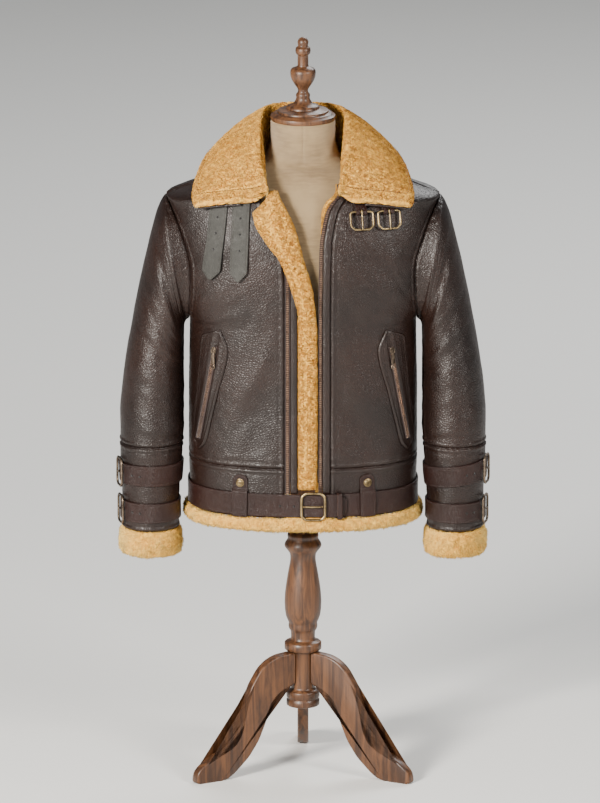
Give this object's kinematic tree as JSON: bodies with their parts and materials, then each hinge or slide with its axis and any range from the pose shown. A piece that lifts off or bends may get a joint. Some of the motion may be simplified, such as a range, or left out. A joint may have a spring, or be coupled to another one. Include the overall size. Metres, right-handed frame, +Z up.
{
  "type": "shearling jacket on a limbless dress form with a turned-wood tripod stand",
  "caption": "Leather jacket with shearling collar, lapel, hem and cuffs, belted, worn open at the neck by a linen dress form on a turned post with a tripod foot.",
  "frame": {"origin": "middle of the base, on the floor under the whole object", "axes": "+Z up, +X to the viewer's right of the front, +Y to the back"},
  "size_m": [0.673, 0.379, 1.3547],
  "materials": {
    "leather": "dark brown pebbled leather, semi-gloss, rubbed at the edges",
    "belt_leather": "smooth dark brown belt leather",
    "strap_leather": "matt grey-black strap leather",
    "shearling": "golden clipped sheep's wool, curled and clumped",
    "zip_tape": "dark woven zip tape with copper-brown teeth",
    "dark_metal": "dark aged brass",
    "antique_brass": "antique brass, satin",
    "linen": "unbleached linen, plain weave",
    "turned_wood": "varnished dark walnut"
  },
  "bodies": {
    "root": {"front_left": "leather", "front_right": "leather", "back": "leather", "hem_band_left": "leather", "hem_band_right": "leather", "hem_band_back": "leather", "zip_left": "zip_tape", "strip_left": "leather", "zip_right": "zip_tape", "strip_right": "leather", "fur_placket": "shearling", "fur_hem": "shearling", "sleeve_left": "leather", "sleeve_lower_left": "leather", "fur_cuff_left": "shearling", "sleeve_right": "leather", "sleeve_lower_right": "leather", "fur_cuff_right": "shearling", "collar": "shearling", "undercollar": "leather", "dress_form": "linen", "neck_cap": "turned_wood", "post": "turned_wood", "leg_left": "turned_wood", "leg_right": "turned_wood", "leg_rear": "turned_wood", "pocket_welt_left": "leather", "pocket_zip_left": "zip_tape", "pocket_slider_left": "dark_metal", "pocket_welt_right": "leather", "pocket_zip_right": "zip_tape", "pocket_slider_right": "dark_metal", "collar_strap_1": "strap_leather", "collar_strap_2": "strap_leather", "collar_loop_1": "belt_leather", "collar_loop_2": "belt_leather", "belt": "belt_leather", "belt_buckle": "antique_brass", "belt_prong": "antique_brass", "belt_keeper": "belt_leather", "belt_loop_left": "belt_leather", "snap_left": "antique_brass", "belt_loop_right": "belt_leather", "snap_right": "antique_brass", "cuff_strap_left_1": "belt_leather", "cuff_buckle_left_1": "dark_metal", "cuff_strap_left_2": "belt_leather", "cuff_buckle_left_2": "dark_metal", "cuff_strap_right_1": "belt_leather", "cuff_buckle_right_1": "dark_metal", "cuff_strap_right_2": "belt_leather", "cuff_buckle_right_2": "dark_metal"},
    "pull_left": {"pocket_pull_left": "dark_metal"},
    "pull_right": {"pocket_pull_right": "dark_metal"},
    "buckle_1": {"collar_buckle_1": "antique_brass"},
    "prong_1": {"collar_prong_1": "antique_brass"},
    "buckle_2": {"collar_buckle_2": "antique_brass"},
    "prong_2": {"collar_prong_2": "antique_brass"}
  },
  "joints": [
    {"name": "pull_left_hinge", "type": "hinge", "parent": "root", "child": "pull_left", "pos_m": [-0.16182, -0.14315, 0.80493], "axis": [0.8115, -0.5843, 0], "range_deg": [-75, 0]},
    {"name": "pull_right_hinge", "type": "hinge", "parent": "root", "child": "pull_right", "pos_m": [0.16182, -0.14315, 0.80493], "axis": [0.8115, 0.5843, 0], "range_deg": [-75, 0]},
    {"name": "buckle_1_hinge", "type": "hinge", "parent": "root", "child": "buckle_1", "pos_m": [0.1047, -0.15352, 1.06078], "axis": [0.9871, 0.16, 0], "range_deg": [-45, 0]},
    {"name": "prong_1_hinge", "type": "hinge", "parent": "buckle_1", "child": "prong_1", "pos_m": [0.1047, -0.15352, 1.06078], "axis": [0.9871, 0.16, 0], "range_deg": [-40, 0]},
    {"name": "buckle_2_hinge", "type": "hinge", "parent": "root", "child": "buckle_2", "pos_m": [0.15333, -0.1424, 1.06014], "axis": [0.9534, 0.3018, 0], "range_deg": [-45, 0]},
    {"name": "prong_2_hinge", "type": "hinge", "parent": "buckle_2", "child": "prong_2", "pos_m": [0.15333, -0.1424, 1.06014], "axis": [0.9534, 0.3018, 0], "range_deg": [-40, 0]}
  ]
}
